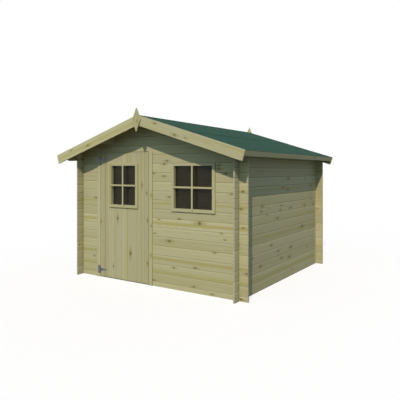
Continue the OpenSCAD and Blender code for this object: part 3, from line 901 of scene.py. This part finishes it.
def roof_boards(side):
    """The roof boards of one slope, ridge to eave, with v-joints on the underside."""
    def height(edge):
        return (edge.verts[0].co.z + edge.verts[1].co.z) / 2
    node = SIDES[side] + "_roof_deck"
    bm = node_copy(node)
    start = min(bm.faces, key=lambda face: face.calc_center_median().y)
    bmesh.ops.delete(bm, geom=[face for face in bm.faces if face is not start], context="FACES")
    moved = swept_vertices(bmesh.ops.extrude_face_region(bm, geom=list(bm.faces)))
    bmesh.ops.translate(bm, vec=(0, roof_cover, 0), verts=moved)
    bmesh.ops.recalc_face_normals(bm, faces=bm.faces)
    along = [edge for edge in bm.edges if edge.calc_length() > LONG_EDGE]
    centre = sum(height(edge) for edge in along) / len(along)
    ease(bm, [edge for edge in along if height(edge) < centre], ROOF_BOARD_EDGE, 1)
    board = bm.verts[:] + bm.edges[:] + bm.faces[:]
    for count in range(1, ROOF_BOARDS):
        copied = swept_vertices(bmesh.ops.duplicate(bm, geom=board))
        bmesh.ops.translate(bm, vec=(0, roof_cover * count, 0), verts=copied)
    hang(node + "_boards", bm, [roof_pine[side]], "shed", [node])


def casing(bm, low, high, stile, top, bottom):
    """Adds four boards round an opening: two rails over the full width, and two stiles between them."""
    x0, y0, z0 = low
    x1, y1, z1 = high
    add_board(bm, (x0, y0, z1 - top), (x1, y1, z1), 0)
    add_board(bm, (x0, y0, z0), (x1, y1, z0 + bottom), 0)
    add_board(bm, (x0, y0, z0 + bottom), (x0 + stile, y1, z1 - top), 1)
    add_board(bm, (x1 - stile, y0, z0 + bottom), (x1, y1, z1 - top), 1)


class Window:
    """The boards of one window: its frame on the face of a wall, the cross bars, and the trim inside."""

    def __init__(self, prefix, body, wall):
        self.prefix = prefix
        self.body = body
        self.wall_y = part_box(wall)[0].y
        self.low, self.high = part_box(prefix + "window_frame")
        self.pane_low, self.pane_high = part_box(prefix + "window_glass")
        self.stile = self.pane_low.x - self.low.x + PANE_LAP
        self.top = self.high.z - self.pane_high.z + PANE_LAP
        self.bottom = self.pane_low.z - self.low.z + PANE_LAP

    def hang(self, name, bm, replaced=()):
        hang(self.prefix + name, bm, [rail_pine, upright_pine], self.body, replaced)

    def frame(self):
        """The boards on the face of the wall, and those that line its opening as far as the pane."""
        low, high = self.low, self.high
        cover = Vector((FRAME_COVER, 0, FRAME_COVER))
        bm = bmesh.new()
        casing(bm, low, Vector((high.x, self.wall_y, high.z)), self.stile, self.top, self.bottom)
        casing(bm, Vector((low.x, self.wall_y, low.z)) + cover,
               Vector((high.x, self.pane_low.y, high.z)) - cover,
               self.stile - FRAME_COVER, self.top - FRAME_COVER, self.bottom - FRAME_COVER)
        self.hang("window_frame_boards", bm, [self.prefix + "window_frame"])

    def bars(self):
        """One upright bar on the frame, and a level one in two halves beside it."""
        sight_low = Vector((self.low.x + self.stile, 0, self.low.z + self.bottom))
        sight_high = Vector((self.high.x - self.stile, 0, self.high.z - self.top))
        centre = (sight_low + sight_high) / 2
        front, back = self.low.y - BAR_T, self.low.y
        half = BAR_W / 2
        ends = ((sight_low.x - BAR_LAP, centre.x - half), (centre.x + half, sight_high.x + BAR_LAP))
        bm = bmesh.new()
        add_board(bm, (centre.x - half, front, sight_low.z - BAR_LAP),
                  (centre.x + half, back, sight_high.z + BAR_LAP), 1, BAR_EASE)
        for left, right in ends:
            add_board(bm, (left, front, centre.z - half), (right, back, centre.z + half), 0, BAR_EASE)
        self.hang("window_bars", bm)

    def trim(self):
        """The boards round the pane on the inside."""
        low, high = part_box(self.prefix + "window_trim")
        bm = bmesh.new()
        casing(bm, Vector((low.x, self.pane_high.y, low.z)), high, self.stile, self.top, self.bottom)
        self.hang("window_trim_boards", bm, [self.prefix + "window_trim"])


def add_head(bm, place, facing, radius, height, sides=HEAD_SIDES):
    """Adds the round head of a nail that faces a direction."""
    turn = Vector(facing).to_track_quat("Z", "Y").to_matrix().to_4x4()
    bmesh.ops.create_cone(
        bm, cap_ends=True, segments=sides, radius1=radius, radius2=radius * HEAD_TAPER_SHARE, depth=height,
        matrix=Matrix.Translation(Vector(place) + Vector(facing) * height / 2) @ turn)


def add_screw(bm, place, facing):
    """Adds a screw's head with a recess for the driver."""
    before = set(bm.faces)
    add_head(bm, place, facing, SCREW_R, SCREW_H, SCREW_SIDES)
    cap = max((face for face in bm.faces if face not in before),
              key=lambda face: face.calc_center_median().dot(Vector(facing)))
    bmesh.ops.inset_region(bm, faces=[cap], thickness=SCREW_R * SCREW_RIM_SHARE, use_even_offset=True)
    bmesh.ops.translate(bm, vec=Vector(facing) * (-SCREW_H * SCREW_RECESS_SHARE), verts=cap.verts)


def slope_length():
    """The length of the felt from the ridge down to the eave."""
    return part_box("right_roof_felt")[1].x / math.cos(ROOF_PITCH)


def slope_point(side, along, y, lift=0.0):
    """A point on the felt: a distance down the slope from the ridge, and a height over the slope."""
    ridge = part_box("right_roof_felt")[1].z
    return Vector((
        side * (along * math.cos(ROOF_PITCH) + lift * math.sin(ROOF_PITCH)), y,
        ridge - along * math.sin(ROOF_PITCH) + lift * math.cos(ROOF_PITCH)))


def spread(low, high, step):
    """Even places from low to high, about a step apart."""
    count = max(1, round((high - low) / step))
    return [low + (high - low) * index / count for index in range(count + 1)]


def felt_nails():
    """The felt's broad-headed nails along the eaves, the laps and the gable edges."""
    felt_low, felt_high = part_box("right_roof_felt")
    front, rear = felt_low.y + FELT_NAIL_INSET, felt_high.y - FELT_NAIL_INSET
    eave = slope_length()
    lap = eave * FELT_LAP_SHARE
    bm = bmesh.new()
    for side in SIDES:
        up = Vector((side * math.sin(ROOF_PITCH), 0, math.cos(ROOF_PITCH)))
        for y in spread(front, rear, NAIL_STEP):
            add_head(bm, slope_point(side, eave - FELT_NAIL_INSET, y), up, CLOUT_R, HEAD_H)
            add_head(bm, slope_point(side, lap - LAP_NAIL_INSET, y, LAP_NAIL_LIFT), up, CLOUT_R, HEAD_H)
        for along in spread(RIDGE_NAIL_INSET, eave - EAVE_NAIL_INSET, NAIL_STEP):
            if abs(along - lap + LAP_CLEAR_INSET) > LAP_CLEAR:
                for y in (front, rear):
                    add_head(bm, slope_point(side, along, y), up, CLOUT_R, HEAD_H)
    hang("felt_nails", bm, [zinc_steel], "shed")


def barge_nails(bm):
    """Adds the nails through the bargeboards, by the ridge, the purlins and the eaves."""
    front_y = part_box("front_left_bargeboard")[0].y
    rear_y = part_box("rear_left_bargeboard")[1].y
    for facing, face_y in ((-1, front_y), (1, rear_y)):
        for side in SIDES:
            for along in BARGE_NAILS + (slope_length() - BARGE_END_INSET,):
                for lift in BARGE_NAIL_LIFTS:
                    add_head(bm, slope_point(side, along, face_y, lift), (0, facing, 0), NAIL_R, HEAD_H)


def fascia_nails(bm):
    """Adds the nails through the fascias."""
    for side, name in SIDES.items():
        low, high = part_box(name + "_fascia")
        out = Vector((side * math.cos(ROOF_PITCH), 0, -math.sin(ROOF_PITCH)))
        for y in spread(low.y + FASCIA_NAIL_INSET, high.y - FASCIA_NAIL_INSET, FASCIA_NAIL_STEP):
            for lift in FASCIA_NAIL_LIFTS:
                add_head(bm, slope_point(side, slope_length(), y, lift), out, NAIL_R, HEAD_H)


def board_nails():
    """The nails of the boards round the roof."""
    bm = bmesh.new()
    barge_nails(bm)
    fascia_nails(bm)
    hang("board_nails", bm, [zinc_steel], "shed")


def hinge_screws():
    """The screws of the hinges: on the plates, and on the straps."""
    plates = bmesh.new()
    straps = bmesh.new()
    out = (0, -1, 0)
    for hinge in ("upper", "lower"):
        plate_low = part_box(hinge + "_hinge_plate")[0]
        strap_low, strap_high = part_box(hinge + "_hinge_strap")
        centre = middle(hinge + "_hinge_plate", 2)
        face_y = strap_high.y - HINGE_T
        for x in PLATE_SCREWS_X:
            for z in PLATE_SCREWS_Z:
                add_screw(plates, (plate_low.x + x, face_y, centre + z), out)
        for x in STRAP_SCREWS_X:
            add_screw(straps, (strap_low.x + x, face_y, centre), out)
    hang("hinge_plate_screws", plates, [zinc_steel], "shed")
    hang("hinge_strap_screws", straps, [zinc_steel], "door")


def photo_camera():
    """The camera at the photograph's viewing angle."""
    data = bpy.data.cameras.new("photo_camera")
    data.sensor_width = SENSOR
    data.lens = SENSOR * FOCAL_PIXELS / PHOTO_PIXELS
    data.shift_y = (HORIZON_PIXEL - PHOTO_PIXELS / 2) / PHOTO_PIXELS
    camera = bpy.data.objects.new("photo_camera", data)
    camera.location = EYE
    camera.rotation_euler = (math.pi / 2, 0, EYE_TURN)
    bpy.context.scene.collection.objects.link(camera)
    bpy.context.scene.camera = camera


def unlit_rays(flow):
    """1 for the rays that should see a white background: those of the camera, of gloss and of glass."""
    path = flow.node("LightPath")
    return path.pick("Is Camera Ray").most(path.pick("Is Glossy Ray")).most(path.pick("Is Transmission Ray"))


def sunlight():
    """A low sun from the front."""
    sun = bpy.data.lights.new("sun", "SUN")
    sun.energy = SUN_STRENGTH
    sun.angle = SUN_ANGLE
    sun.color = SUN_COLOUR
    lamp = bpy.data.objects.new("sun", sun)
    lamp.rotation_euler = SUN_TRAVEL.to_track_quat("-Z", "Y").to_euler()
    bpy.context.scene.collection.objects.link(lamp)


def sky():
    """A dim sky, brighter before and behind the shed, which is white to the camera."""
    world = bpy.data.worlds.new("sky")
    world.use_nodes = True
    world.node_tree.nodes.clear()
    flow = Flow(world.node_tree)
    seen_way = flow.node("SeparateXYZ", Vector=flow.node("TexCoord").pick("Generated"))
    from_back = seen_way.pick("Y")
    gain = (from_back * BACK_SKY_GAIN).most(0 - from_back * FRONT_SKY_GAIN)
    dim = flow.node("Background", Color=SKY_COLOUR, Strength=SKY_STRENGTH + gain)
    white = flow.node("Background", Color=WHITE, Strength=1.0)
    flow.node("OutputWorld", Surface=flow.node("MixShader", values=(unlit_rays(flow), dim, white)))
    bpy.context.scene.world = world


def floor():
    """A pale floor that keeps the shed's shadow and runs out to white."""
    material, flow = new_finish("floor_pale")
    lit = flow.node("BsdfDiffuse", Color=FLOOR_COLOUR)
    shadowed = flow.node("BsdfDiffuse", Color=FLOOR_SHADOW_COLOUR)
    glow = flow.node("Emission", Color=WHITE, Strength=FLOOR_GLOW)
    seen = flow.node("AddShader", values=(shadowed, glow))
    flow.node("OutputMaterial", Surface=flow.node("MixShader", values=(unlit_rays(flow), lit, seen)))
    bm = bmesh.new()
    bmesh.ops.create_circle(bm, cap_ends=True, segments=FLOOR_SEGMENTS, radius=FLOOR_RADIUS,
                            matrix=Matrix.Translation((0, 0, -FLOOR_DROP)))
    mesh = bpy.data.meshes.new("floor")
    bm.to_mesh(mesh)
    bm.free()
    mesh.materials.append(material)
    ground = bpy.data.objects.new("floor", mesh)
    bpy.context.scene.collection.objects.link(ground)


def paint(finish, *nodes):
    """Gives CAD nodes that stay in view a finish."""
    for node in nodes:
        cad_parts[node].material_slots[0].material = finish


bpy.context.scene.view_settings.view_transform = "Standard"
photo_camera()
sunlight()
sky()
floor()

paint(cross_log_pine, "front_wall_left", "front_wall_right", "door_header_log", "front_gable")
paint(cross_log_pine, "rear_wall", "rear_gable")
paint(side_log_pine, "left_wall", "right_wall")
paint(green_felt, "left_roof_felt", "right_roof_felt")
paint(pane_glass, "window_glass", "door_window_glass")
paint(zinc_steel, "upper_hinge_plate", "lower_hinge_plate", "upper_hinge_strap", "lower_hinge_strap")

for purlin in ("ridge_purlin", "left_purlin", "right_purlin"):
    eased_board(purlin, purlin_pine)
for end in ("front", "rear"):
    for side, name in SIDES.items():
        eased_board(end + "_" + name + "_bargeboard", barge_pine[side])
    eased_board(end + "_finial", finial_pine)
for name in SIDES.values():
    eased_board(name + "_fascia", fascia_pine)
    eased_board(name + "_eave_ends", rail_pine)
    eased_board(name + "_door_post", upright_pine)
eased_board("door_head", rail_pine)
eased_board("door_sill", shaded_sill_pine)
eased_board("door_ledges", rail_pine, "door")
door_brace()
door_boards()
for side in SIDES:
    roof_boards(side)
for window in (Window("", "shed", "front_gable"), Window("door_", "door", "door_leaf")):
    window.frame()
    window.bars()
    window.trim()
felt_nails()
board_nails()
hinge_screws()
